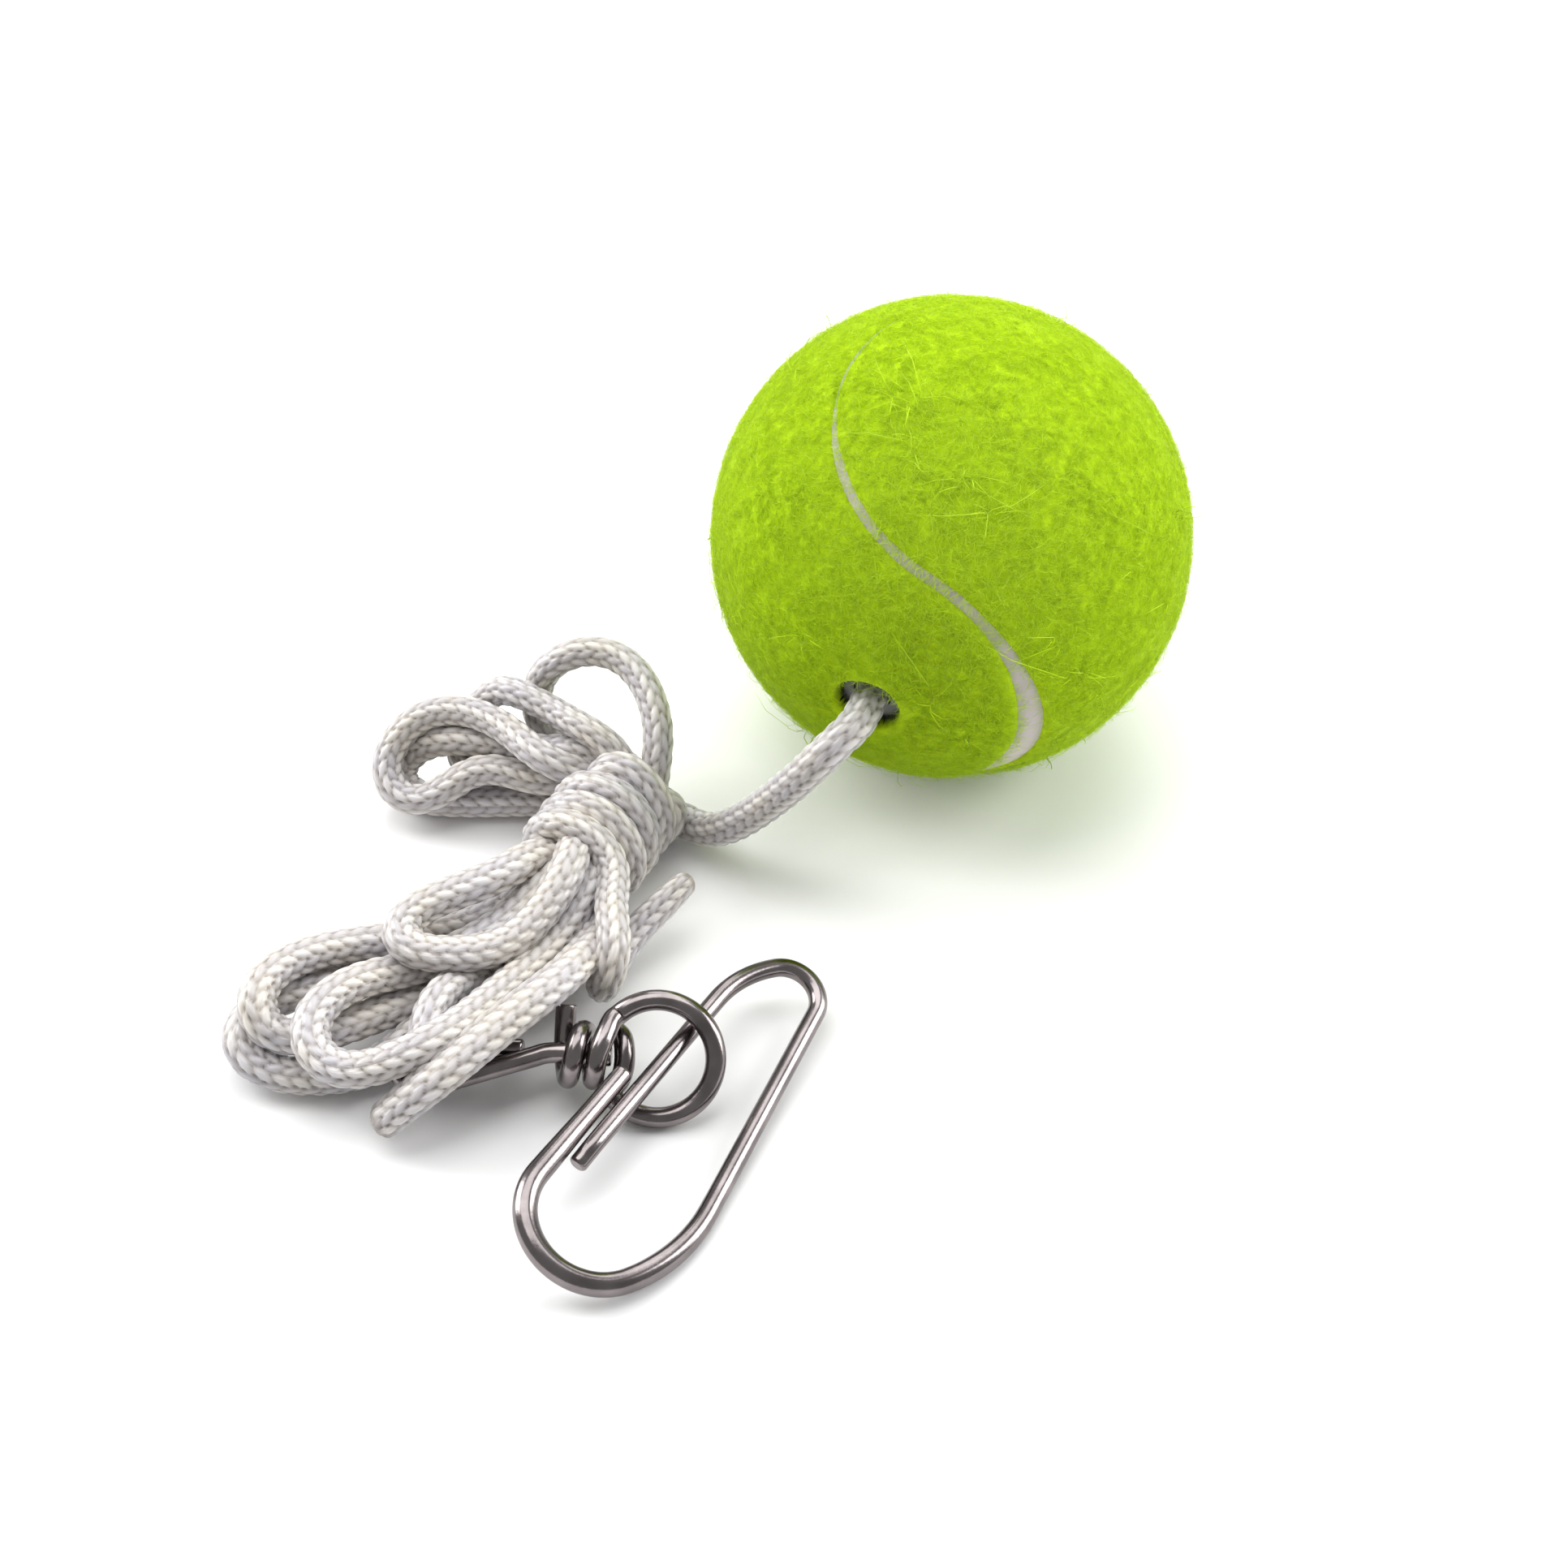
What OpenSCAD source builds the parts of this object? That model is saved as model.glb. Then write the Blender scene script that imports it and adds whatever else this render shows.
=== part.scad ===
// Tetherball set: a felt ball on a braided cord, the cord stored in a tied hank, and a
// wire swivel with a snap hook on the hank's end. Millimetres, +Z up. Everything lies on
// the ground plane, and the origin is below the middle of the ball and clip together.

/* [Ball] */
// Outside diameter over the felt
ball_d = 66; // [40:0.5:120]
// Thickness of the felt cover
felt_t = 3.1; // [1:0.1:6]
// Thickness of the rubber core wall
core_wall = 3.3; // [2:0.1:8]
// Width of the seam rubber between the felt panels
seam_w = 2.2; // [0.6:0.1:5]
// Depth of the seam rubber below the felt surface
seam_depth = 0.8; // [0.1:0.1:2.5]
// Angle by which the rounded panel ends lean over the middle plane
lobe_lean = 14; // [5:1:30]
// Diameter of the hole through the felt
hole_d = 9; // [5:0.5:16]
// Diameter of the hole through the rubber core
core_hole_d = 5.4; // [2:0.1:12]
// Diameter of the stopper knot inside the ball
knot_d = 13; // [9:0.5:20]

/* [Cord] */
// Diameter of the braided cord
cord_d = 4.6; // [2:0.1:8]
// Outside diameter of the wraps round the hank
wraps_d = 17.5; // [10:0.5:30]
// Length of the wraps along the hank
wraps_len = 17; // [5:0.5:40]
// Half width of the hank's upper loops
upper_r = 8.5; // [5:0.5:15]
// Half width of the hank's lower loops
lower_r = 9; // [5:0.5:15]
// Height of the hank over the ground
hank_h = 14; // [8:0.5:25]

/* [Swivel] */
// Diameter of the steel wire
wire_d = 2.7; // [1.5:0.1:4]
// Radius of the ring, to the middle of the wire
ring_r = 7.5; // [5:0.1:15]
// Radius of the coil round the neck, to the middle of the wire
coil_r = 3.1; // [2.5:0.1:6]
// Rise of the ring's plane over the ground, in degrees
ring_rise = 43; // [0:1:90]
// Radius of the eye's rounded end, to the middle of the wire
eye_r = 4; // [3:0.1:8]
// Length of the eye from the neck to the middle of its rounded end
eye_len = 15; // [8:0.5:30]

/* [Snap hook] */
// Radius of the hook's round end, to the middle of the wire
bend_r = 9; // [6:0.1:15]
// Length of the short leg that the gate rests beside
short_leg = 18.4; // [8:0.2:30]
// Gap between the gate and the short leg
gate_gap = 0.3; // [0.2:0.1:2]
// Length of the gate's straight part
gate_len = 31.2; // [15:0.2:50]
// Radius of the hook's narrow end, to the middle of the wire
tip_r = 4.4; // [3:0.1:8]
// Tilt of the hook off the ground, where it leans on the ring
hook_tilt = 21; // [0:1:40]

/* [Hidden] */
$fn = 96;
fit = 0.05;

// Ball.
ball_r = ball_d / 2;
core_r = ball_r - felt_t;
bore_r = core_r - core_wall;
seam_r = ball_r - seam_depth;
ball_at = [21, 36, ball_r];
panel_turn = [52, 3, -131];
exit_turn = [96.9, 0, -22.4];
exit_dir = [sin(-22.4) * sin(96.9), -cos(-22.4) * sin(96.9), cos(96.9)];
knot_at = bore_r - knot_d / 2 - 0.4;
gap_deg = asin(seam_w / ball_d) * 1.1;

// Cord. The waist is where the tie's wraps squeeze the hank.
cord_r = cord_d / 2;
cord_sides = 10;
waist_at = [-26.5, 3.5, 9];
waist_turn = [90, 0, -26.5];
upper_ends = [[-29, 15.5], [-49, 18.5]];
lower_ends = [[-37, -14], [-62, -26.5]];
lead_route = [
    ball_at + knot_at * exit_dir,
    ball_at + ball_r * exit_dir,
    [5.3, 0.8, 28.5], [0.6, 0.3, 22.5], [-3.4, 2.2, 16],
    [-8, 4.4, 9.5], [-12.5, 7.5, 4.5], [-17.5, 10.5, 3],
    [-20.5, 12.5, 4], [-21.5, 9.9, 6.2]
];
arch_route = [
    [-20, 9.5, 12], [-19, 13.5, 17], [-21, 19.5, 20],
    [-24, 23.5, 21.5], [-28, 25.5, 21.5], [-33, 25, 20],
    [-36, 24.5, 17], [-37, 24.5, 13.5], [-36, 21, 10],
    [-32, 17, 9]
];
tail_route = [
    [-54, -44, 3.2], [-51.5, -42.5, 5], [-48, -41.5, 8],
    [-44.5, -40, 10.6], [-41, -37, 11.5], [-37, -33.5, 12.3],
    [-33, -29.5, 12.7], [-29, -24.5, 12.1], [-26.5, -19.5, 10.5],
    [-26, -12.5, 9], [-29, -5, 9]
];
end_route = [
    [-29, -4, 13], [-25.5, -12, 12], [-24.4, -18.5, 13],
    [-24.6, -22.8, 11.3], [-25.8, -24, 8], [-25.8, -20.8, 5],
    [-24.3, -16.3, 4.5], [-21.8, -12.6, 5.8], [-18.2, -9.3, 7.4],
    [-14.2, -5.5, 9]
];

// Swivel. The neck runs along the ring's own x axis, with the ring's middle at zero.
wire_r = wire_d / 2;
ring_at = [-18.2, -35.3, 6.6];
neck_turn = -4;
coil_start = -12.4;
coil_front = -10.35;
coil_end = -7.4;
neck_start = -14.5;
head_at = -6.5;
head_r = 1.85;
eye_bend = 9.6;
eye_open = asin(eye_r / eye_len);
eye_tip = 3.2;
eye_route = concat(
    [eye_point(head_at - neck_start + 0.3, 180 - eye_bend), eye_point(0.5, 180 - eye_bend)],
    [eye_point(1.5, eye_open)],
    arc([eye_len, 0], eye_r, 90 + eye_open, -180 - 2 * eye_open, 0),
    [eye_point(eye_tip, -eye_open)]
);
ring_route = concat(
    [for (y = [6, 3, 1]) [coil_start, y, -coil_r]],
    [for (a = [180:-20:0])
        coil_point(coil_start + (coil_front - coil_start) * (1 - a / 180), 90 + a)],
    [for (a = [20:20:360])
        coil_point(coil_front + (coil_end - coil_front) * a / 360, 90 - a)],
    [[-6.95, 1.6, 2.9], [-6.4, 3.4, 1.9], [-5.9, 4.75, 0.7]],
    [for (a = [135:-10:-145]) ring_r * [cos(a), sin(a), 0]],
    [[-4.8, -3.2, -0.1], [-4.3, -1.6, -0.3], [-4.3, 0.6, -0.7], [-4.8, 2.4, -1.6],
        [-5.8, 3.2, -2.4]]
);

// Snap hook, drawn flat and then leant on the ring. It runs from the short leg's end
// round the bend, up the long side, over the tip and shoulder and back down the gate.
hook_at = [-25.7, -59.1, wire_r];
hook_turn = -32;
bend_turn = 152;
flank_r = 23.2;
flank_turn = 37;
tip_turn = 134;
shoulder_r = 16;
split_deg = 1.6;
flank_from = 180 + bend_turn;
side_at = flank_from + flank_turn;
tip_end = side_at + tip_turn;
flank_mid = (bend_r - flank_r) * spoke(flank_from);
flank_end = flank_mid + flank_r * spoke(side_at);
gate_x = wire_d + gate_gap - bend_r;
side_end_x = gate_x + tip_r * cos(side_at) + shoulder_r
    - (tip_r - shoulder_r) * cos(tip_end);
side_len = (side_end_x - flank_end[0]) / cos(side_at + 90);
side_end = flank_end + side_len * spoke(side_at + 90);
tip_mid = side_end - tip_r * spoke(side_at);
shoulder_mid = tip_mid + (tip_r - shoulder_r) * spoke(tip_end);
low_x = flank_mid[0] + flank_r;
bow_route = concat(
    [[-bend_r, short_leg, 0]],
    arc([0, 0], bend_r, 180, bend_turn, 0),
    arc(flank_mid, flank_r, flank_from, flank_turn, 1),
    [[side_end[0], side_end[1], 0]],
    arc(tip_mid, tip_r, side_at, tip_turn, 1)
);
gate_route = concat(
    arc(shoulder_mid, shoulder_r, tip_end + split_deg, 540 - tip_end - split_deg, 0),
    [[gate_x, shoulder_mid[1] - gate_len, 0]]
);

// Part to show

// A unit vector in the plane at an angle.
function spoke(angle) = [cos(angle), sin(angle)];

// A point of the swivel's coil, at a place along the neck and an angle round it.
function coil_point(x, angle) = [x, coil_r * cos(angle), coil_r * sin(angle)];

// A point of the swivel's eye, at a distance and angle from where its arms meet.
function eye_point(reach, angle) = reach * [cos(angle), sin(angle), 0];

// Points along a flat arc, about 12 degrees apart, the first one left out if asked.
function arc(mid, radius, from, turn, skip) =
    let (steps = ceil(abs(turn) / 12))
    [for (i = [skip:steps])
        let (p = mid + radius * spoke(from + turn * i / steps)) [p[0], p[1], 0]];

function unit(v) = v / norm(v);

// The direction of a route at one of its points.
function heading(route, i) =
    unit(route[min(i + 1, len(route) - 1)] - route[max(i - 1, 0)]);

// One vector square to the route for each point, carried along without twisting.
function carried(route, i, last) =
    i == len(route) ? [] :
    let (t = heading(route, i), n = unit(last - (last * t) * t))
    concat([n], carried(route, i + 1, n));

// A closed tube of one radius along a route.
module tube(route, r, sides) {
    normals = carried(route, 0, [0.3, 0.2, 1]);
    rings = len(route);
    points = [
        for (i = [0:rings - 1]) for (k = [0:sides - 1])
            let (n = normals[i], m = cross(heading(route, i), n), a = 360 * k / sides)
            route[i] + r * (cos(a) * n + sin(a) * m)
    ];
    walls = [
        for (i = [0:rings - 2]) for (k = [0:sides - 1])
            let (a = i * sides + k, b = i * sides + (k + 1) % sides)
            each [[a, a + sides, b + sides], [a, b + sides, b]]
    ];
    first = [for (k = [0:sides - 1]) k];
    last = [for (k = [sides - 1:-1:0]) (rings - 1) * sides + k];
    polyhedron(points, concat(walls, [first, last]));
}

// Everything of the ball, in the ball's own place.
module on_ball() {
    translate(ball_at) children();
}

module along_exit() {
    rotate(exit_turn) children();
}

module cord_hole(d) {
    along_exit() cylinder(d = d, h = ball_d);
}

module shell(outer, inner) {
    difference() {
        sphere(r = outer);
        sphere(r = inner);
    }
}

// Half of all space round the ball, above the middle plane.
module upper_half() {
    translate([0, 0, ball_d]) cube(2 * ball_d, center = true);
}

// Two round cones from the ball's centre, one each way along the x axis, leaning up.
// They meet the middle plane at the given angle from the x axis.
module lobes(at_plane) {
    half_angle = acos(cos(lobe_lean) * cos(at_plane));
    reach = ball_r + 4;
    for (side = [0, 180])
        rotate([0, 0, side])
            rotate([0, 90 - lobe_lean, 0])
                cylinder(r1 = 0, r2 = reach * tan(half_angle), h = reach);
}

// The space of one dog-bone panel, cut back from the seam's middle by an angle.
module panel_space(back) {
    difference() {
        upper_half();
        rotate([0, 0, 90]) lobes(45 + back);
    }
    difference() {
        mirror([0, 0, 1]) lobes(45 - back);
        upper_half();
    }
}

module other_panel() {
    rotate([180, 0, 0]) rotate([0, 0, 90]) children();
}

module core_half(side) {
    color("#6d6b73") on_ball()
        difference() {
            intersection() {
                shell(core_r, bore_r);
                rotate(panel_turn)
                    translate([side * ball_d, 0, 0]) cube(2 * ball_d, center = true);
            }
            if (side > 0) cord_hole(core_hole_d);
        }
}

module core_half_a() {
    core_half(1);
}

module core_half_b() {
    core_half(-1);
}

module felt_panel_a() {
    color("#b4dc28") on_ball()
        difference() {
            intersection() {
                shell(ball_r, core_r + fit);
                rotate(panel_turn) panel_space(gap_deg);
            }
            cord_hole(hole_d);
        }
}

module felt_panel_b() {
    color("#a9d121") on_ball()
        intersection() {
            shell(ball_r, core_r + fit);
            rotate(panel_turn) other_panel() panel_space(gap_deg);
        }
}

module seam_rubber() {
    color("#8f8a8c") on_ball()
        difference() {
            shell(seam_r, core_r + fit);
            rotate(panel_turn) panel_space(gap_deg - 0.15);
            rotate(panel_turn) other_panel() panel_space(gap_deg - 0.15);
        }
}

module stopper_knot() {
    color("#e9e7e2") on_ball()
        along_exit() translate([0, 0, knot_at]) sphere(d = knot_d);
}

module cord_lead() {
    color("#efede8") tube(lead_route, cord_r, cord_sides);
}

// A slab with round ends between two points, standing on the ground.
module slab(ends, r, h) {
    along = ends[1] - ends[0];
    linear_extrude(h) {
        for (end = ends) translate(end) circle(r = r);
        translate(ends[0])
            rotate(atan2(along[1], along[0]))
                translate([0, -r]) square([norm(along), 2 * r]);
    }
}

module hank_upper() {
    color("#e4e1da") slab(upper_ends, upper_r, hank_h);
}

module hank_arch() {
    color("#efede8") tube(arch_route, cord_r, cord_sides);
}

module hank_waist() {
    color("#f3f2ee")
        translate(waist_at)
            rotate(waist_turn) cylinder(d = wraps_d, h = wraps_len, center = true);
}

module hank_lower() {
    color("#e4e1da") slab(lower_ends, lower_r, hank_h);
}

// Places things on the eye: zero is where its two arms meet, x runs to its round end.
module on_eye() {
    translate(ring_at)
        rotate([0, 0, neck_turn])
            translate([neck_start, 0, 0])
                rotate([0, 0, 180 + eye_bend]) children();
}

module eye_hitch() {
    color("#efede8") on_eye()
        translate([eye_len + eye_r, 0, 0])
            rotate([90, 0, 0]) cylinder(d = 2 * cord_d + 1, h = cord_d, center = true);
}

module tie_tail() {
    color("#efede8") tube(tail_route, cord_r, cord_sides);
}

module tie_end() {
    color("#efede8") tube(end_route, cord_r, cord_sides);
}

module swivel_eye() {
    color("#c9c7c4") {
        on_eye() tube(eye_route, wire_r, 12);
        translate(ring_at)
            rotate([0, 0, neck_turn])
                translate([head_at, 0, 0])
                    rotate([0, 90, 0]) cylinder(r = head_r, h = 0.5);
    }
}

module swivel_ring() {
    color("#bdbbb9")
        translate(ring_at)
            rotate([ring_rise, 0, neck_turn]) tube(ring_route, wire_r, 12);
}

// Leans the flat hook up off the ground about its lowest side.
module on_hook() {
    translate(hook_at)
        rotate([0, 0, hook_turn])
            translate([low_x, 0, 0])
                rotate([0, hook_tilt, 0])
                    translate([-low_x, 0, 0]) children();
}

module hook_bow() {
    color("#cfcdca") on_hook() tube(bow_route, wire_r, 16);
}

module hook_gate() {
    color("#d6d4d1") on_hook() tube(gate_route, wire_r, 16);
}

core_half_a();
core_half_b();
felt_panel_a();
felt_panel_b();
seam_rubber();
stopper_knot();
cord_lead();
hank_upper();
hank_arch();
hank_waist();
hank_lower();
eye_hitch();
tie_tail();
tie_end();
swivel_eye();
swivel_ring();
hook_bow();
hook_gate();
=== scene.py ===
"""Tetherball set lying on a pale floor: felt ball, stored cord, wire swivel and snap hook."""
import math

import bpy
import numpy as np
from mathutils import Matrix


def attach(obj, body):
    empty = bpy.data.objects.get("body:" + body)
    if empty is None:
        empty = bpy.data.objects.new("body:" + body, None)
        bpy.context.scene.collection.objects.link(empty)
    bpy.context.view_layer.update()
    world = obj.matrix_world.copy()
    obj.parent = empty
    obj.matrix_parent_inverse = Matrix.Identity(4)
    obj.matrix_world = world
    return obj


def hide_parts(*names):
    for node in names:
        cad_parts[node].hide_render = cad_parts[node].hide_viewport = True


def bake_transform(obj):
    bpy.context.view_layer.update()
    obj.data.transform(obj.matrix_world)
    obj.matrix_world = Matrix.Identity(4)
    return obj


MM = 0.001
# Felt and hairs keep this far above the ground, in millimetres.
ABOVE_GROUND = 0.02

# Ball, in millimetres.
BALL_R = 33.0
SEAM_R = 32.2
HOLE_R = 4.5
FELT_LOW = 30.3
LOBE_LEAN = math.radians(14)
GRID_CELLS = 150
HAIRS = 22000
PANEL_TURN = (52, 3, -131)
EXIT_DIR = np.array([-0.37831, -0.91786, -0.12014])
BALL_AT = np.array([21.0, 36.0, 33.0])

# Cord.
CORD_D = 4.6
KNOT_AT = 19.6
NECK_MID = np.array([-26.5, 3.5, 9.0])
NECK_ALONG = np.array([-0.45, -0.893, 0.0])
NECK_ACROSS = np.array([-0.893, 0.45, 0.0])
UP = np.array([0.0, 0.0, 1.0])
NECK_HALF = 8.0

# Wire. The swivel and hook are drawn flat and then laid in place, as in the CAD.
WIRE_R = 1.35
RING_AT = np.array([-18.2, -35.3, 6.6])
NECK_TURN = -4
RING_RISE = 43
RING_R = 7.5
COIL_R = 3.1
COIL_START, COIL_FRONT, COIL_END = -12.4, -10.35, -7.4
NECK_START, HEAD_AT = -14.5, -6.5
EYE_BEND, EYE_R, EYE_LEN = 9.6, 4.0, 15.0
HOOK_AT = np.array([-25.7, -59.1, WIRE_R])
HOOK_TURN, HOOK_TILT = -32, 21
BEND_R, BEND_TURN, SHORT_LEG = 9.0, 152, 18.4
FLANK_R, FLANK_TURN = 23.2, 37
TIP_R, TIP_TURN = 4.4, 134
SHOULDER_R = 16.0
GATE_LEN, GATE_GAP = 31.2, 0.3

# How the cords settle. The gaps are between middle lines, in millimetres.
SETTLE_STEP = 2.0
SETTLE_ROUNDS = 260
LOOSE_GAP, TIGHT_GAP = 0.9 * CORD_D, 1.9
WIRE_GAP = WIRE_R + 2.1
BALL_GAP = BALL_R + 2.4
GROUND_GAP = 2.4
SAME_STRAND = 2.4 * CORD_D
NECK_GRIP = 0.96
EARLY_PULL, LATE_PULL = 0.02, 0.005
PUSH = 0.3
SMOOTHING = (0.32, -0.335)


# ---------------------------------------------------------------- plain geometry helpers

def unit(v):
    v = np.asarray(v, float)
    return v / np.linalg.norm(v)


def turn_z(deg):
    c, s = math.cos(math.radians(deg)), math.sin(math.radians(deg))
    return np.array([[c, -s, 0], [s, c, 0], [0, 0, 1]])


def turn_x(deg):
    c, s = math.cos(math.radians(deg)), math.sin(math.radians(deg))
    return np.array([[1, 0, 0], [0, c, -s], [0, s, c]])


def turn_y(deg):
    c, s = math.cos(math.radians(deg)), math.sin(math.radians(deg))
    return np.array([[c, 0, s], [0, 1, 0], [-s, 0, c]])


def smooth_step(x, low, high):
    t = np.clip((x - low) / (high - low), 0.0, 1.0)
    return t * t * (3 - 2 * t)


def lengths_along(points):
    return np.concatenate([[0], np.cumsum(np.linalg.norm(np.diff(points, axis=0), axis=1))])


def resample(points, step):
    """Evenly spaced points along a polyline, about a step apart."""
    at = lengths_along(points)
    count = max(2, int(round(at[-1] / step)) + 1)
    wanted = np.linspace(0, at[-1], count)
    return np.column_stack([np.interp(wanted, at, points[:, k]) for k in range(3)])


def spline(route, step):
    """A smooth curve through the route's points (centripetal Catmull-Rom), evenly spaced."""
    p = np.asarray(route, float)
    p = np.vstack([2 * p[0] - p[1], p, 2 * p[-1] - p[-2]])
    out = []
    for a, b, c, d in zip(p[:-3], p[1:-2], p[2:-1], p[3:]):
        ta = 0.0
        tb = ta + math.sqrt(np.linalg.norm(b - a)) + 1e-9
        tc = tb + math.sqrt(np.linalg.norm(c - b)) + 1e-9
        td = tc + math.sqrt(np.linalg.norm(d - c)) + 1e-9
        t = np.linspace(tb, tc, 24, endpoint=False)[:, None]
        ab = ((tb - t) * a + (t - ta) * b) / (tb - ta)
        bc = ((tc - t) * b + (t - tb) * c) / (tc - tb)
        cd = ((td - t) * c + (t - tc) * d) / (td - tc)
        abc = ((tc - t) * ab + (t - ta) * bc) / (tc - ta)
        bcd = ((td - t) * bc + (t - tb) * cd) / (td - tb)
        out.append(((tc - t) * abc + (t - tb) * bcd) / (tc - tb))
    out.append(p[-2][None])
    return resample(np.vstack(out), step)


def rounded(points, passes):
    """The same line with its small corners averaged away."""
    p = points.copy()
    for _ in range(passes):
        p[1:-1] = 0.25 * p[:-2] + 0.5 * p[1:-1] + 0.25 * p[2:]
    return p


def frames_along(points):
    """Tangents, and two square vectors carried along the line without twisting."""
    t = np.gradient(points, axis=0)
    t /= np.linalg.norm(t, axis=1)[:, None]
    n = np.empty_like(t)
    last = UP if abs(t[0] @ UP) < 0.9 else np.array([1.0, 0.0, 0.0])
    for i, along in enumerate(t):
        last = last - (last @ along) * along
        last /= np.linalg.norm(last)
        n[i] = last
    return t, n, np.cross(t, n)


# ---------------------------------------------------------------- scene and camera

def place_camera():
    """Looks down at 45 degrees from straight in front, as far off as a hand-held phone."""
    aim = np.array([-0.002, 0.001, 0.020])
    distance = 0.4344
    rise = math.radians(45)
    data = bpy.data.cameras.new("camera")
    data.sensor_width = 36
    data.lens = 75.06
    data.clip_start = 0.01
    camera = bpy.data.objects.new("camera", data)
    back = np.array([0.0, -math.cos(rise), math.sin(rise)])
    camera.location = aim + distance * back
    camera.rotation_euler = (math.radians(90) - rise, 0, 0)
    bpy.context.collection.objects.link(camera)
    bpy.context.scene.camera = camera


# ---------------------------------------------------------------- cord routes

def neck_point(along, angle, reach):
    """A point of the neck: how far along it, the angle round it from the left, the radius."""
    a = math.radians(angle)
    return (NECK_MID + along * NECK_ALONG
            + reach * (math.cos(a) * NECK_ACROSS + math.sin(a) * UP))


def neck_pass(angle, reach, towards_front):
    """The cord's straight run through the neck in one of its places."""
    ends = [neck_point(s * NECK_HALF, angle, reach) for s in (-1.0, 0.0, 1.0)]
    return ends if towards_front else ends[::-1]


def tether_route():
    """Ball to hank to swivel eye. Each loop is named for where it lies in the hank."""
    lead = [(5.3, 0.8, 28.5), (0.6, 0.3, 22.5), (-3.4, 2.2, 16), (-8, 4.4, 9.5),
            (-12.5, 7.5, 4.5), (-17.5, 10.5, 3), (-20.5, 12.5, 4)]
    lower_back = [(-37, -10.5, 8), (-45.5, -13.5, 7.5), (-54, -16.5, 8.5), (-59, -18, 9),
                  (-64.5, -20, 9.5), (-68.5, -24, 9.5), (-70.5, -28, 8.5), (-68.5, -31.5, 7),
                  (-62.5, -30.5, 6), (-53.5, -26, 5.5), (-44.5, -19.5, 5), (-36, -13, 6)]
    arch = [(-20, 9.5, 12), (-19, 13.5, 17), (-21, 19.5, 20), (-24, 23.5, 21.5),
            (-28, 25.5, 21.5), (-33, 25, 20), (-36, 24.5, 17), (-37, 24.5, 13.5),
            (-36, 21, 10), (-32, 17, 9)]
    lower_short = [(-36.5, -8.5, 14), (-41.5, -11.5, 14.5), (-47, -14.5, 14), (-51, -17, 13),
                   (-52.5, -19, 11.5), (-49.5, -21.5, 11), (-44.5, -22.5, 11.5),
                   (-39.5, -21.5, 12), (-34.5, -17, 12), (-30.5, -12, 12)]
    upper_top = [(-27, 12, 15), (-31, 16.5, 15.5), (-35, 21.5, 15.5), (-40.5, 25, 15),
                 (-43.5, 25.5, 13.5), (-45, 24, 10.5), (-47.5, 21.5, 8), (-48.5, 19, 6.5),
                 (-43.5, 18, 6.5), (-38, 17, 7)]
    lower_long = [(-36.5, -11.5, 4), (-46, -16, 4), (-55, -19.8, 5), (-62, -21.5, 5.5),
                  (-67.5, -24.3, 6), (-71, -27.5, 6.3), (-72.3, -30, 6), (-72, -32.5, 5),
                  (-70, -34, 3.5), (-66, -34.5, 2.5), (-60.5, -35, 2.5), (-54, -34, 2.5),
                  (-48, -30, 2.5), (-41, -24, 3), (-34, -16.5, 4)]
    upper_mid = [(-33, 12, 13), (-40.5, 18, 13.5), (-45, 21.5, 13), (-50, 22.5, 12),
                 (-54.5, 21, 10.5), (-57, 18.5, 8), (-57, 16, 6), (-55, 14, 4.5),
                 (-51.5, 13, 5), (-47.5, 14.5, 7), (-43, 16, 8), (-39, 16, 8)]
    lower_front = [(-36, -13, 10), (-41, -17, 9), (-47.5, -20.5, 9), (-52.5, -22.5, 9.5),
                   (-57.5, -25, 10), (-61, -29, 10.5), (-63, -33, 10), (-62, -36, 9),
                   (-59.5, -38.5, 8.5), (-55.5, -39.5, 9), (-52, -39, 10.3),
                   (-48.5, -37.5, 10.8), (-44.5, -34.5, 10.8), (-40.5, -30, 10.5),
                   (-36.5, -24.5, 10), (-33, -18.5, 9.5)]
    upper_low = [(-35.5, 16.5, 9), (-43.5, 20, 9), (-50, 22, 8), (-54.5, 20.5, 6),
                 (-56.5, 18.5, 3.5), (-53.5, 16, 2.5), (-48, 15.2, 2.5), (-41.5, 15.2, 2.5),
                 (-35.5, 15.5, 3)]
    to_eye = [(-35, -12, 3), (-40, -18.5, 3), (-44, -24.5, 2.6), (-47, -30, 2.6),
              (-48, -34, 2.8), (-47.5, -37, 4.5), (-46.5, -36.6, 7.5), (-47.3, -33.4, 9.8),
              (-46.3, -29, 8.6), (-43.3, -24.5, 7.2), (-39.8, -19.5, 6.6), (-37, -15.5, 6.6)]
    start = [BALL_AT + r * EXIT_DIR for r in (KNOT_AT, 26.0, 31.0, 35.5)]
    route = start + lead
    route += neck_pass(-120, 3.2, True) + lower_back
    route += neck_pass(-160, 3.2, False) + arch
    route += neck_pass(40, 3.2, True) + lower_short
    route += neck_pass(80, 3.2, False) + upper_top
    route += neck_pass(-40, 3.2, True) + lower_long
    route += neck_pass(0, 3.2, False) + upper_mid
    route += neck_pass(0, 0.0, True) + lower_front
    route += neck_pass(120, 3.2, False) + upper_low
    route += neck_pass(-80, 3.2, True) + to_eye
    return route


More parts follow.
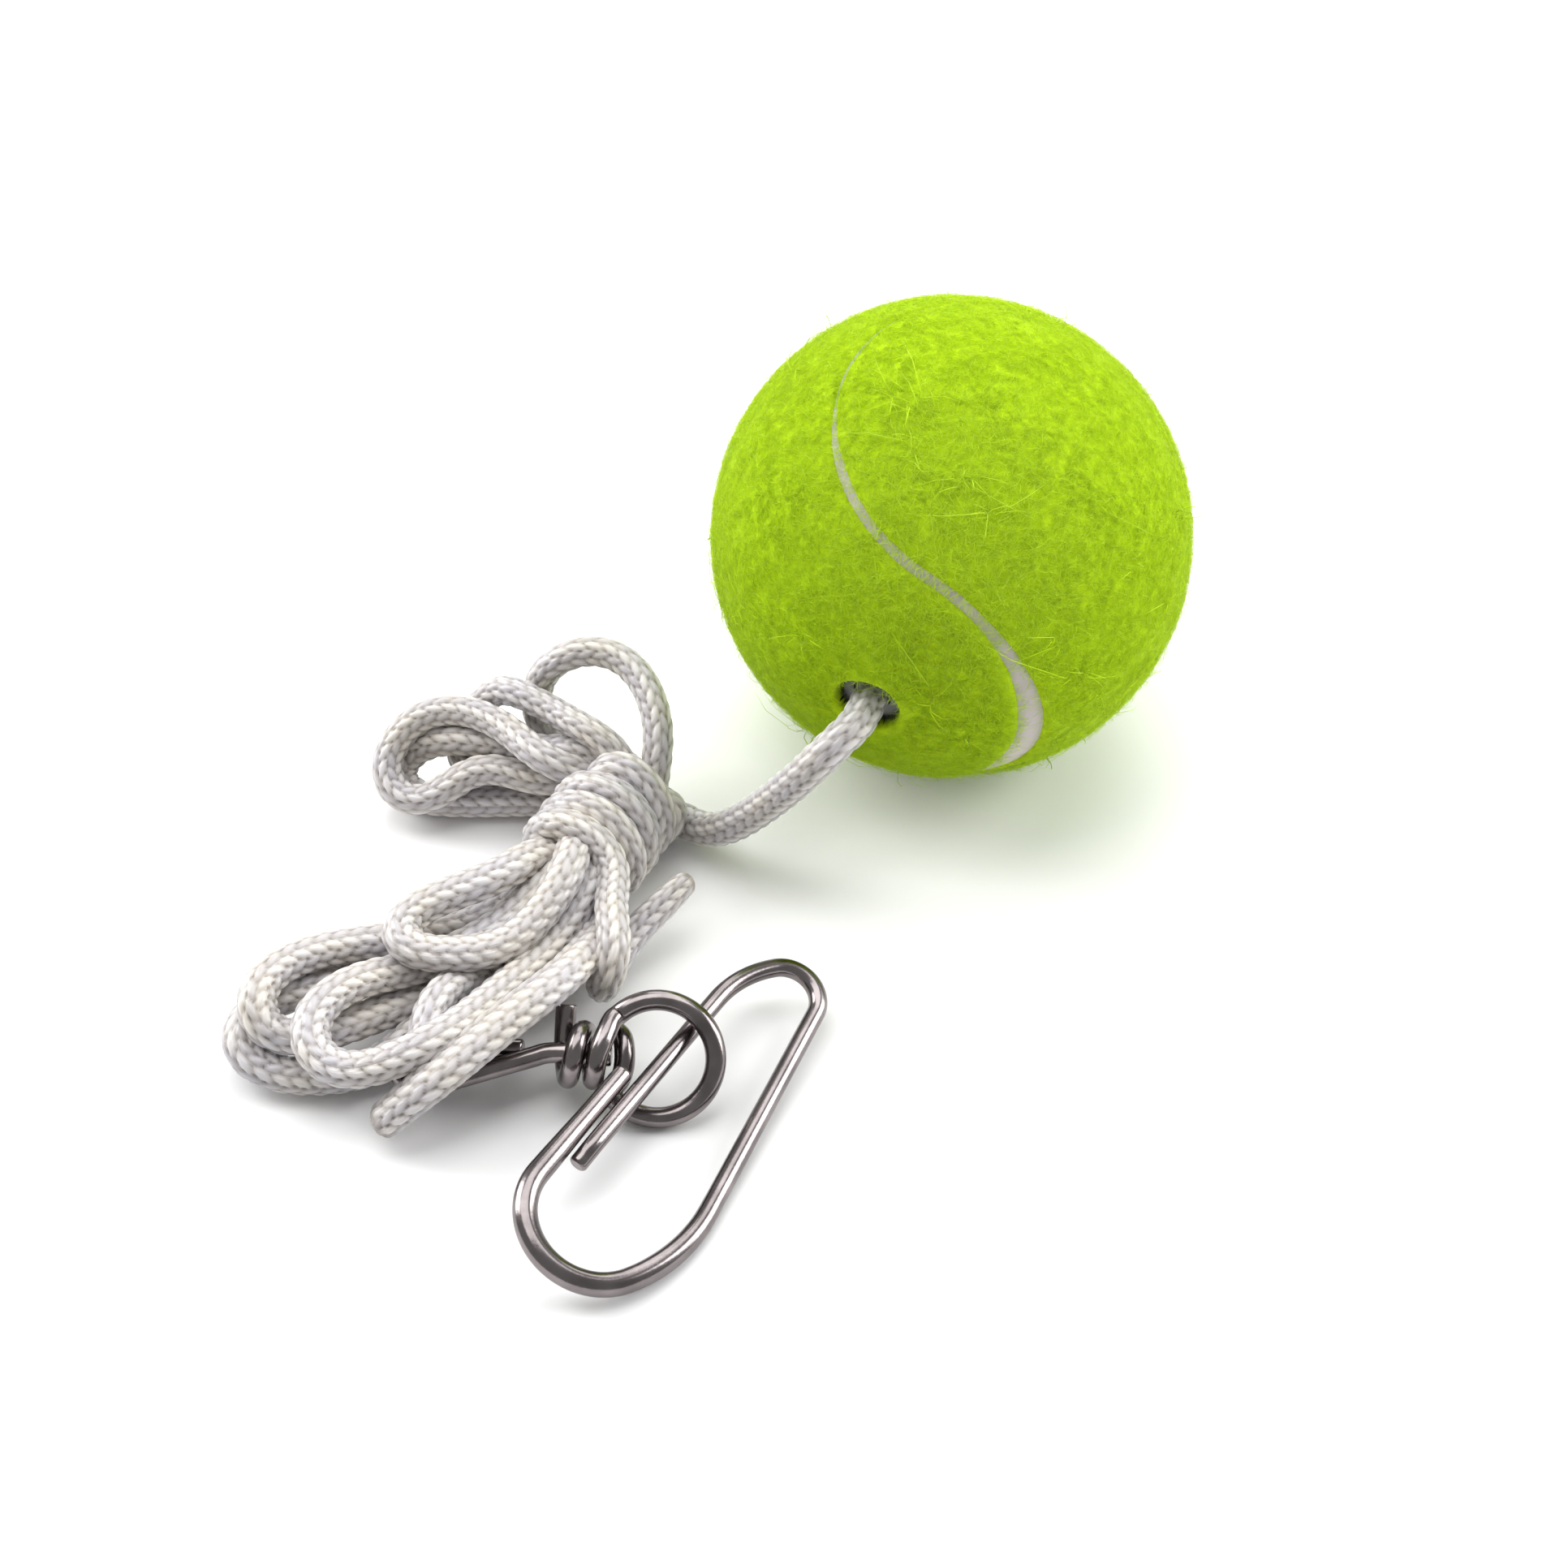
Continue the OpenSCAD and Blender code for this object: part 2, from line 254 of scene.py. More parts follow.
def tie_route():
    """The short cord that ties the hank: tail, wraps round the neck, a hitch and its end."""
    tail = [(-54, -44, 3.2), (-51.5, -42.5, 5), (-48, -41.5, 8), (-44.5, -40, 10.6),
            (-41, -37, 11.5), (-37, -33.5, 12.3), (-33, -29.5, 12.7), (-29, -24.5, 12.1),
            (-26.5, -19.5, 10.5), (-26, -12.5, 9)]
    under = [neck_point(7, 155, 3.8), neck_point(0, 160, 3.3), neck_point(-7, 165, 4.2)]
    first, last = 190, 1590
    wraps = []
    for angle in range(first, last + 1, 28):
        part = (angle - first) / (last - first)
        wraps.append(neck_point(-8.5 + 16.5 * part, angle, 6.5))
    hitch = [(-25.5, -12, 12), (-24.4, -18.5, 13), (-24.6, -22.8, 11.3), (-25.8, -24, 8),
             (-25.8, -20.8, 5), (-24.3, -16.3, 4.5), (-21.8, -12.6, 5.8), (-18.2, -9.3, 7.4),
             (-14.2, -5.5, 9)]
    return tail + under + wraps + hitch


# ---------------------------------------------------------------- cord at rest

def packed_share(points):
    """How tightly each point is squeezed: 1 inside the neck's wraps, 0 out in the loops."""
    off = points - NECK_MID
    along = off @ NECK_ALONG
    reach = np.linalg.norm(off - np.outer(along, NECK_ALONG), axis=1)
    inside = 1 - smooth_step(np.abs(along), NECK_HALF - 1, NECK_HALF + 5)
    return inside * (1 - smooth_step(reach, 4.5, 6.0))


def even_out(p, share, weight):
    """Moves each point by a share of the way to the middle of its two neighbours."""
    middle = np.zeros_like(p)
    middle[1:-1] = (p[:-2] + p[2:]) / 2 - p[1:-1]
    p += share * weight * middle


def keep_lengths(p, rest, joined, free):
    """Brings neighbours on one cord back to their own distance."""
    for _ in range(6):
        span = np.diff(p, axis=0)
        size = np.linalg.norm(span, axis=1) + 1e-9
        fix = np.where(joined, (size - rest) / size, 0.0)[:, None] * span * 0.5
        p[:-1] += free[:-1] * fix
        p[1:] -= free[1:] * fix


def settle(lines, wires, rounds):
    """Lets the cords push apart and rest on the ground without changing their lengths.

    lines are the cords' points in millimetres, wires a cloud of points of steel wire. Each
    round pulls the points back towards their route a little, smooths the line, and pushes
    it out of other strands, the wire, the ball and the ground. The smoothing goes forwards
    and back, so that loops don't shrink. The strands in the neck hardly move.
    """
    start = np.vstack(lines)
    p = start.copy()
    ends = np.cumsum([len(line) for line in lines])
    line_of = np.repeat(np.arange(len(lines)), [len(line) for line in lines])
    place = np.arange(len(p))
    step = np.linalg.norm(np.diff(lines[0], axis=0), axis=1).mean()
    joined = line_of[1:] == line_of[:-1]
    rest = np.linalg.norm(np.diff(start, axis=0), axis=1)
    squeeze = packed_share(start)
    in_ball = np.linalg.norm(start - BALL_AT, axis=1) < BALL_R + 3
    pair_squeeze = np.maximum(squeeze[:, None], squeeze[None, :])
    nearest = LOOSE_GAP * (1 - pair_squeeze) + TIGHT_GAP * pair_squeeze
    far_apart = np.abs(place[:, None] - place[None, :]) * step > SAME_STRAND
    far_apart |= line_of[:, None] != line_of[None, :]
    inner = np.zeros(len(p), bool)
    inner[1:-1] = (line_of[1:-1] == line_of[:-2]) & (line_of[1:-1] == line_of[2:])
    inner = inner[:, None]
    free = np.where(in_ball, 0.0, 1 - NECK_GRIP * squeeze)[:, None]
    for turn in range(rounds):
        pull = EARLY_PULL if turn < rounds * 0.7 else LATE_PULL
        p += free * pull * (start - p)
        for share in SMOOTHING:
            even_out(p, share, free * inner)
        gap = p[:, None] - p[None, :]
        dist = np.sqrt((gap ** 2).sum(2)) + 1e-9
        short = np.where(far_apart, np.clip(nearest - dist, 0, None), 0.0)
        push = (gap / dist[:, :, None] * short[:, :, None]).sum(1)
        p += free * PUSH * push
        gap = p[:, None] - wires[None, :]
        dist = np.sqrt((gap ** 2).sum(2)) + 1e-9
        closest = dist.argmin(1)
        away = gap[place, closest]
        short = np.clip(WIRE_GAP - dist.min(1), 0, None) / dist.min(1)
        p += free * away * short[:, None]
        off = p - BALL_AT
        out = np.linalg.norm(off, axis=1)
        p += free * off * (np.clip(BALL_GAP - out, 0, None) / out)[:, None]
        p[:, 2] = np.where(in_ball, p[:, 2], np.maximum(p[:, 2], GROUND_GAP))
        keep_lengths(p, rest, joined, free)
    for share in (0.5, -0.5) * 4:
        even_out(p, share, inner & ~in_ball[:, None])
    p[:, 2] = np.maximum(p[:, 2], GROUND_GAP - 0.05)
    return np.split(p, ends[:-1])


# ---------------------------------------------------------------- meshes

def new_object(name, verts, faces, material):
    """A smooth mesh from points in millimetres and faces that are all quads or triangles."""
    mesh = bpy.data.meshes.new(name)
    verts = np.asarray(verts, float) * MM
    sizes = np.concatenate([np.full(len(f), f.shape[1]) for f in faces])
    corners = np.concatenate([f.ravel() for f in faces])
    mesh.vertices.add(len(verts))
    mesh.vertices.foreach_set("co", verts.ravel())
    mesh.loops.add(len(corners))
    mesh.loops.foreach_set("vertex_index", corners)
    mesh.polygons.add(len(sizes))
    mesh.polygons.foreach_set("loop_start", np.cumsum(sizes) - sizes)
    mesh.polygons.foreach_set("use_smooth", np.ones(len(sizes), bool))
    mesh.update(calc_edges=True)
    mesh.materials.append(material)
    obj = bpy.data.objects.new(name, mesh)
    bpy.context.collection.objects.link(obj)
    return obj


def note_values(obj, name, values):
    """Stores one number per point, for the material to read."""
    layer = obj.data.attributes.new(name, "FLOAT", "POINT")
    layer.data.foreach_set("value", np.asarray(values, np.float32))


def tube_faces(rings, sides):
    """Quads between the rings of a tube, and a fan of triangles over each end.

    The end rings come again after the rest, followed by the two end middles, so that the
    flat ends don't soften the round wall.
    """
    start = np.arange(rings - 1)[:, None] * sides
    k = np.arange(sides)[None, :]
    after = (k + 1) % sides
    quads = np.stack([start + k, start + after, start + sides + after, start + sides + k],
                     axis=2).reshape(-1, 4)
    k, after = k[0], after[0]
    first = rings * sides
    last = first + sides
    middles = last + sides
    fan = np.stack([first + after, first + k, np.full(sides, middles)], axis=1)
    fan_end = np.stack([last + k, last + after, np.full(sides, middles + 1)], axis=1)
    return [quads, np.vstack([fan, fan_end])]


def tube_points(rings, centre):
    """The points that tube_faces expects, from the rings' points and the middle line."""
    return np.vstack([rings.reshape(-1, 3), rings[0], rings[-1], centre[:1], centre[-1:]])


def tube_values(values, sides):
    """One value per point of tube_points, from a table of one row per ring."""
    return np.concatenate([values.ravel(), values[0], values[-1], [values[0, 0], values[-1, 0]]])


# ---------------------------------------------------------------- wires

def spin(x, y, radius, start, sweep):
    """Points round a flat arc, three degrees apart."""
    steps = max(2, int(math.ceil(abs(sweep) / 3)))
    a = np.radians(start + sweep * np.arange(steps + 1) / steps)
    return np.column_stack([x + radius * np.cos(a), y + radius * np.sin(a), np.zeros(steps + 1)])


def spoke_at(degrees):
    return np.array([math.cos(math.radians(degrees)), math.sin(math.radians(degrees))])


def on_ring(p):
    """Lays flat points of the swivel's ring in place."""
    return RING_AT + np.asarray(p, float) @ (turn_z(NECK_TURN) @ turn_x(RING_RISE)).T


def on_eye(p):
    """Lays flat points of the swivel's eye in place."""
    flat = np.asarray(p, float) @ turn_z(180 + EYE_BEND).T + np.array([NECK_START, 0, 0])
    return RING_AT + flat @ turn_z(NECK_TURN).T


def hook_shape():
    """The hook's flat middle line in three runs: short leg to side, tip, and gate."""
    gate_x = 2 * WIRE_R + GATE_GAP - BEND_R
    flank_from = 180 + BEND_TURN
    side_at = flank_from + FLANK_TURN
    tip_end = side_at + TIP_TURN
    flank_mid = (BEND_R - FLANK_R) * spoke_at(flank_from)
    flank_end = flank_mid + FLANK_R * spoke_at(side_at)
    side_end_x = (gate_x + TIP_R * spoke_at(side_at)[0] + SHOULDER_R
                  - (TIP_R - SHOULDER_R) * spoke_at(tip_end)[0])
    side_len = (side_end_x - flank_end[0]) / spoke_at(side_at + 90)[0]
    side_end = flank_end + side_len * spoke_at(side_at + 90)
    tip_mid = side_end - TIP_R * spoke_at(side_at)
    shoulder_mid = tip_mid + (TIP_R - SHOULDER_R) * spoke_at(tip_end)
    low_x = flank_mid[0] + FLANK_R
    leg = np.column_stack([np.full(12, -BEND_R), np.linspace(SHORT_LEG, 1.0, 12), np.zeros(12)])
    side = np.linspace([*flank_end, 0], [*side_end, 0], 24)[1:]
    bow = np.vstack([leg, spin(0, 0, BEND_R, 180, BEND_TURN),
                     spin(*flank_mid, FLANK_R, flank_from, FLANK_TURN)[1:], side])
    tip = spin(*tip_mid, TIP_R, side_at, TIP_TURN)
    shoulder = spin(*shoulder_mid, SHOULDER_R, tip_end, 540 - tip_end)
    gate_end = shoulder_mid[1] - GATE_LEN
    straight = np.column_stack([np.full(30, gate_x),
                                np.linspace(shoulder_mid[1], gate_end, 31)[1:], np.zeros(30)])
    # The gate's last 3 mm bend down a little.
    drop = smooth_step(-straight[:, 1], -gate_end - 3.0, -gate_end)
    straight[:, 2] -= 0.7 * drop
    return bow, tip, np.vstack([shoulder, straight]), low_x


def on_hook(p, low_x):
    """Lays flat points of the hook in place, tilted about its lowest edge."""
    low = np.array([low_x, 0, 0])
    tilted = low + (np.asarray(p, float) - low) @ turn_y(HOOK_TILT).T
    return HOOK_AT + tilted @ turn_z(HOOK_TURN).T


def worn_end(point, way, radius, wear):
    """Rings that round off a wire's cut end, going outwards: their middles and radii."""
    shares = np.array((0.4, 0.75, 0.95) if wear else ())
    centres = point + way * wear * shares[:, None]
    return centres, radius - wear * (1 - np.sqrt(1 - shares ** 2))


def wire(name, line, radius, material, ends=(0.35, 0.35), sides=32):
    """A round wire along a line. radius may change along it; ends are worn round by ends mm."""
    t, n, m = frames_along(line)
    r = np.broadcast_to(radius, len(line)).astype(float)
    head, head_r = worn_end(line[0], -t[0], r[0], ends[0])
    tail, tail_r = worn_end(line[-1], t[-1], r[-1], ends[1])
    centre = np.vstack([head[::-1], line, tail])
    r = np.concatenate([head_r[::-1], r, tail_r])
    n, m = [np.vstack([v[:1]] * len(head) + [v] + [v[-1:]] * len(tail)) for v in (n, m)]
    a = np.arange(sides) * 2 * math.pi / sides
    spokes = np.cos(a)[None, :, None] * n[:, None] + np.sin(a)[None, :, None] * m[:, None]
    verts = tube_points(centre[:, None] + r[:, None, None] * spokes, centre)
    return new_object(name, verts, tube_faces(len(centre), sides), material)


def eye_line():
    """The swivel eye's flat middle line: neck, teardrop loop, and back to the neck."""
    open_angle = math.degrees(math.asin(EYE_R / EYE_LEN))
    near = [[*(reach * spoke_at(a)), 0]
            for reach, a in ((HEAD_AT - NECK_START + 0.3, 180 - EYE_BEND), (0.5, 180 - EYE_BEND),
                             (1.8, open_angle + 4))]
    loop = spin(EYE_LEN, 0, EYE_R, 90 + open_angle, -180 - 2 * open_angle)
    back = [[*(3.2 * spoke_at(-open_angle)), 0]]
    return spline(np.vstack([near, loop[::6], back]), 0.5)


def coil_point(x, degrees):
    """A place on the coil: how far along the neck, and the angle round it."""
    return [x, *(COIL_R * spoke_at(degrees))]


def ring_line():
    """The swivel ring's middle line: cut stub, coil round the neck, ring, and tucked end."""
    stub = [[COIL_START, y, -COIL_R] for y in (6, 3, 1)]
    half = [coil_point(COIL_START + (COIL_FRONT - COIL_START) * (1 - a / 180), 90 + a)
            for a in range(180, -1, -15)]
    turn = [coil_point(COIL_FRONT + (COIL_END - COIL_FRONT) * a / 360, 90 - a)
            for a in range(15, 361, 15)]
    rise = [[-6.95, 1.6, 2.9], [-6.4, 3.4, 1.9], [-5.9, 4.75, 0.7]]
    hoop = spin(0, 0, RING_R, 135, -280)[::3]
    tuck = [[-4.8, -3.2, -0.1], [-4.3, -1.6, -0.3], [-4.3, 0.6, -0.7], [-4.8, 2.4, -1.6],
            [-5.8, 3.2, -2.4]]
    return spline(np.vstack([stub, half, turn, rise, hoop, tuck]), 0.4)


def make_hook(metal):
    """The snap hook: bow and gate on their own bodies, and the curved tip between them."""
    bow_line, tip_line, gate_line, low_x = hook_shape()
    bow_line = resample(bow_line, 0.5)
    gate_line = resample(gate_line, 0.5)
    # The wire is thickest round the wide bend, and a little thinner towards the tip.
    across = bow_line[:, 1]
    bow_r = 1.3 + 0.28 * (1 - smooth_step(across, -2, 14)) - 0.06 * smooth_step(across, 14, 30)
    bow = wire("hook_bow_wire", on_hook(bow_line, low_x), bow_r, metal, ends=(0.4, 0))
    tip = wire("hook_tip_wire", on_hook(resample(tip_line, 0.4), low_x), bow_r[-1], metal,
               ends=(0, 0))
    gate = wire("hook_gate_wire", on_hook(gate_line, low_x), bow_r[-1], metal, ends=(0, 0.5))
    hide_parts("hook_bow")
    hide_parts("hook_gate")
    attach(bow, "hook")
    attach(gate, "gate")
    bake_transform(tip)
    return bow, tip, gate


def make_wires(metal):
    """The swivel's eye and ring and the snap hook. Returns the swivel's wire as points."""
    eye_at = on_eye(eye_line())
    ring_at = on_ring(ring_line())
    eye = wire("swivel_eye_wire", eye_at, WIRE_R, metal)
    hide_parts("swivel_eye")
    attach(eye, "cord")
    ring = wire("swivel_ring_wire", ring_at, WIRE_R, metal, ends=(0.2, 0.3))
    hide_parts("swivel_ring")
    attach(ring, "swivel")
    for obj in (eye, ring, *make_hook(metal)):
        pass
    return np.vstack([resample(line, 0.8) for line in (eye_at, ring_at)])


# ---------------------------------------------------------------- felt ball

def seam_distance(d):
    """Distance in millimetres from the seam's middle, above zero on the first panel."""
    lean = math.cos(LOBE_LEAN), math.sin(LOBE_LEAN)
    half = math.acos(lean[0] * math.cos(math.radians(45)))
    upper = lean[0] * np.abs(d[:, 1]) + lean[1] * d[:, 2]
    lower = lean[0] * np.abs(d[:, 0]) - lean[1] * d[:, 2]
    above = np.arccos(np.clip(upper, -1, 1)) - half
    below = half - np.arccos(np.clip(lower, -1, 1))
    return BALL_R * np.where(d[:, 2] >= 0, above, below)


def seam_frame(d):
    """Directions turned so that seam_distance's own axes lie as the real seam does."""
    x, y, z = PANEL_TURN
    return d @ (turn_z(z) @ turn_y(y) @ turn_x(x))


def half_gap(d):
    """Half the width of the seam between the felt edges, which widens to the lower right."""
    wide = smooth_step(d @ unit([0.35, -0.62, -0.7]), 0.15, 0.97)
    closed = smooth_step(d @ unit([-0.1, 0.1, 1.0]), 0.72, 0.9)
    uneven = 0.1 * ripples(d, 9, 3) + 0.09 * ripples(d, 28, 4)
    return 0.12 + 0.75 * wide + 0.8 * wide ** 3 + uneven - 0.55 * closed


def hole_room(d):
    """Distance outside the edge of the hole through the felt, in millimetres."""
    return BALL_R * np.arccos(np.clip(d @ EXIT_DIR, -1, 1)) - HOLE_R + 0.15 * ripples(d, 30, 5)


def panel_room(d, side):
    """How far inside its own cut edge a place on a felt panel is, in millimetres."""
    room = side * seam_distance(seam_frame(d)) - half_gap(d)
    return np.minimum(room, 2.2 * hole_room(d))


def ripples(d, scale, seed):
    """Smooth noise from -1 to 1 over the ball."""
    rng = np.random.default_rng(seed)
    total = np.zeros(len(d))
    for _ in range(7):
        axis = rng.normal(size=3)
        axis *= scale * rng.uniform(0.6, 1.5) / np.linalg.norm(axis)
        total += np.sin(d @ axis + rng.uniform(0, 6.28))
    return total / 4.5


def mottle(d):
    """How bright the felt is at each place, about 0.5 and never far from it."""
    return 0.5 + 0.02 * ripples(d, 14, 31) + 0.07 * ripples(d, 75, 32)


def ball_points(cells):
    """Directions of a grid on a cube blown up to a ball, with the grid's quads."""
    line = np.tan(np.linspace(-math.pi / 4, math.pi / 4, cells + 1))
    u, v = [g.ravel() for g in np.meshgrid(line, line, indexing="ij")]
    one = np.ones_like(u)
    sides = [(one, u, v), (-one, v, u), (v, one, u), (u, -one, v), (u, v, one), (v, u, -one)]
    d = np.vstack([np.column_stack(side) for side in sides])
    d /= np.linalg.norm(d, axis=1)[:, None]
    i, j = [g.ravel() for g in np.meshgrid(np.arange(cells), np.arange(cells), indexing="ij")]
    a = i * (cells + 1) + j
    quad = np.stack([a, a + cells + 1, a + cells + 2, a + 1], axis=1)
    quads = np.vstack([quad + face * (cells + 1) ** 2 for face in range(6)])
    _, first, back = np.unique(np.round(d, 6), axis=0, return_index=True, return_inverse=True)
    return d[first], back.ravel()[quads]


def felt_height(d, room):
    """Distance of the felt's surface from the ball's middle."""
    edge = np.clip(room / 1.3, 0, 1)
    top = BALL_R - 0.42 + 0.10 * ripples(d, 12, 11) + 0.04 * ripples(d, 45, 12)
    return FELT_LOW + (top - FELT_LOW) * np.sqrt(1 - (1 - edge) ** 2)


def felt_panel(name, side, grid, material):
    """One cover's felt, side 1 or -1 of the seam, with its cut edges rounded down."""
    d, quads = grid
    room = panel_room(d, side)
    kept = quads[(room[quads] > -0.45).all(axis=1)]
    used, kept = np.unique(kept, return_inverse=True)
    d, room = d[used], room[used]
    height = felt_height(d, room)
    verts = BALL_AT + d * height[:, None]
    verts[:, 2] = np.maximum(verts[:, 2], ABOVE_GROUND)
    obj = new_object(name, verts, [kept.reshape(-1, 4)], material)
    # The nap value also paints shade: the material darkens the felt where the cut edges round down
    # into the seam.
    note_values(obj, "nap", (height - FELT_LOW) / (BALL_R - FELT_LOW))
    note_values(obj, "tone", mottle(d) - 0.12)
    return obj


def seam_strip(grid, material):
    """The rubber that shows between the panels, bulging a little where it is wide."""
    d, quads = grid
    off = np.abs(seam_distance(seam_frame(d)))
    reach = half_gap(d) + 1.3
    kept = quads[(off[quads] < reach[quads]).all(axis=1)]
    used, kept = np.unique(kept, return_inverse=True)
    d, off, reach = d[used], off[used], reach[used]
    height = SEAM_R + 0.1 - 0.5 * (off / reach) ** 2 + 0.04 * ripples(d, 60, 17)
    return new_object("seam_strip", BALL_AT + d * height[:, None], [kept.reshape(-1, 4)], material)


def fibre_mesh(name, root, way, bend, length, lift, width, tone, material):
    """Thin spindle-shaped hairs that leave their roots along way and curve towards bend."""
    count = len(root)
    shares = (0.0, 0.35, 0.75, 1.0)
    heights = (-0.25, 0.75, 1.0, 0.85)
    points = []
    for share, rise in zip(shares, heights):
        run = (length * share / BALL_R)[:, None]
        p = root + way * run + bend * run * share
        p /= np.linalg.norm(p, axis=1)[:, None]
        points.append(p * (BALL_R - 0.35 + lift * rise)[:, None])
    rows = [points[0][:, None]]
    for at in (1, 2):
        along = points[at + 1] - points[at - 1]
        side = np.cross(along, points[at])
        side /= np.linalg.norm(side, axis=1)[:, None] + 1e-9
        out = points[at] / np.linalg.norm(points[at], axis=1)[:, None]
        w = width[:, None]
        rows.append(np.stack([points[at] + side * w, points[at] - side * w,
                              points[at] + out * w], axis=1))
    rows.append(points[3][:, None])
    verts = (BALL_AT + np.concatenate(rows, axis=1)).reshape(-1, 3)
    verts[:, 2] = np.maximum(verts[:, 2], ABOVE_GROUND)
    tris = np.array([[0, 2, 1], [0, 3, 2], [0, 1, 3], [7, 4, 5], [7, 5, 6], [7, 6, 4]])
    quads = np.array([[1, 2, 5, 4], [2, 3, 6, 5], [3, 1, 4, 6]])
    base = np.arange(count)[:, None, None] * 8
    obj = new_object(name, verts, [(tris + base).reshape(-1, 3), (quads + base).reshape(-1, 4)],
                     material)
    note_values(obj, "tone", np.repeat(tone, 8))
    # The root gets a lower nap value, which the material turns into painted shade at the foot of
    # each hair.
    note_values(obj, "nap", np.tile([0.6, 0.9, 0.9, 0.9, 1.0, 1.0, 1.0, 1.0], count))
    return obj


def felt_fibres(name, side, count, seed, material):
    """The nap: hairs that mostly lie along the felt, combed by a slow swirl."""
    rng = np.random.default_rng(seed)
    d = rng.normal(size=(int(count * 2.3), 3))
    d /= np.linalg.norm(d, axis=1)[:, None]
    room = panel_room(d, side)
    keep = (room > 0.3) & (hole_room(d) > 0.9)
    d, room = d[keep][:count], room[keep][:count]
    count = len(d)
    swirl = np.column_stack([ripples(d, 8, 41), ripples(d, 8, 42), ripples(d, 8, 43)])
    way = np.cross(d, swirl * 0.25 + rng.normal(size=(count, 3)))
    way /= np.linalg.norm(way, axis=1)[:, None]
    bend = np.cross(d, way) * rng.normal(size=(count, 1)) * 0.9
    length = rng.uniform(0.9, 2.2, count)
    lift = 0.1 + 0.5 * rng.random(count) ** 1.5 + 0.05 * ripples(d, 50, 44)
    lift -= 0.5 * (1 - np.clip(room / 0.8, 0, 1))
    stray = rng.random(count) < 0.07
    lift[stray] += rng.uniform(0.25, 0.8, stray.sum())
    width = rng.uniform(0.016, 0.03, count)
    tone = np.clip(mottle(d) + 0.2 * rng.normal(size=count), 0, 1)
    return fibre_mesh(name, d, way, bend, length, lift, width, tone, material)


def loose_hairs(material):
    """Small tufts of long hairs that stand off the ball in open loops."""
    rng = np.random.default_rng(5)
    tufts = rng.normal(size=(90, 3))
    tufts /= np.linalg.norm(tufts, axis=1)[:, None]
    tufts = tufts[np.abs(seam_distance(seam_frame(tufts))) > 3.5]
    d = np.repeat(tufts, 7, axis=0) + rng.normal(size=(7 * len(tufts), 3)) * 0.018
    d /= np.linalg.norm(d, axis=1)[:, None]
    d = d[hole_room(d) > 4]
    count = len(d)
    way = np.cross(d, rng.normal(size=(count, 3)))
    way /= np.linalg.norm(way, axis=1)[:, None]
    bend = np.cross(d, way) * rng.normal(size=(count, 1)) * 1.8
    lift = 0.7 + 1.9 * rng.random(count) ** 2
    return fibre_mesh("loose_hairs", d, way, bend, rng.uniform(1.2, 4.0, count), lift,
                      np.full(count, 0.055), np.full(count, 0.6), material)


def make_ball(frame, felt, seam, core):
    """Felt panels with their nap, over the CAD's rubber seam and core."""
    grid = ball_points(GRID_CELLS)
    pieces = []
    for letter, side in (("a", 1), ("b", -1)):
        panel = felt_panel("felt_cover_" + letter, side, grid, felt)
        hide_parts("felt_panel_" + letter)
        pieces.append(panel)
        for batch in (1, 2, 3):
            name = "felt_nap_%s%d" % (letter, batch)
            pieces.append(felt_fibres(name, side, HAIRS, 10 * batch + side, felt))
    pieces.append(loose_hairs(felt))
    for obj in pieces:
        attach(obj, "ball")
    strip = seam_strip(grid, seam)
    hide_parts("seam_rubber")
    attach(strip, "ball")
    dress(frame, core, "core_half_a", "core_half_b")


def dress(frame, material, *nodes):
    """Gives the CAD's own pieces a material."""
    for node in nodes:
        obj = frame["nodes"][node]
        obj.data.materials.clear()
        obj.data.materials.append(material)


# ---------------------------------------------------------------- braided cord mesh

# The braid: strands side by side round the cord, millimetres from pick to pick, and how
# far the strands stand up.
COLUMNS = 10
PICK = 2.35
RELIEF = 0.36


def braid_height(column, row):
    """Height of the braid's strands, 0 to 1, at a place round and along the cord.

    column counts strands round the cord and row counts picks along it.
    """
    best = np.zeros(np.broadcast(column, row).shape)
    near = np.floor(column + 0.5)
    for side in (-1, 0, 1):
        lane = near + side
        odd = np.mod(lane, 2)
        lean = 1 - 2 * odd
        shift = row + 0.5 * odd
        base = np.floor(shift + 0.5)
        for step in (-1, 0, 1):
            u = column - lane
            v = shift - (base + step)
            across = (u - 0.45 * lean * v) / 0.52
            along = v / 0.62
            bump = np.clip(1 - across ** 2 - along ** 2, 0, None)
            best = np.maximum(best, np.sqrt(bump))
    return best


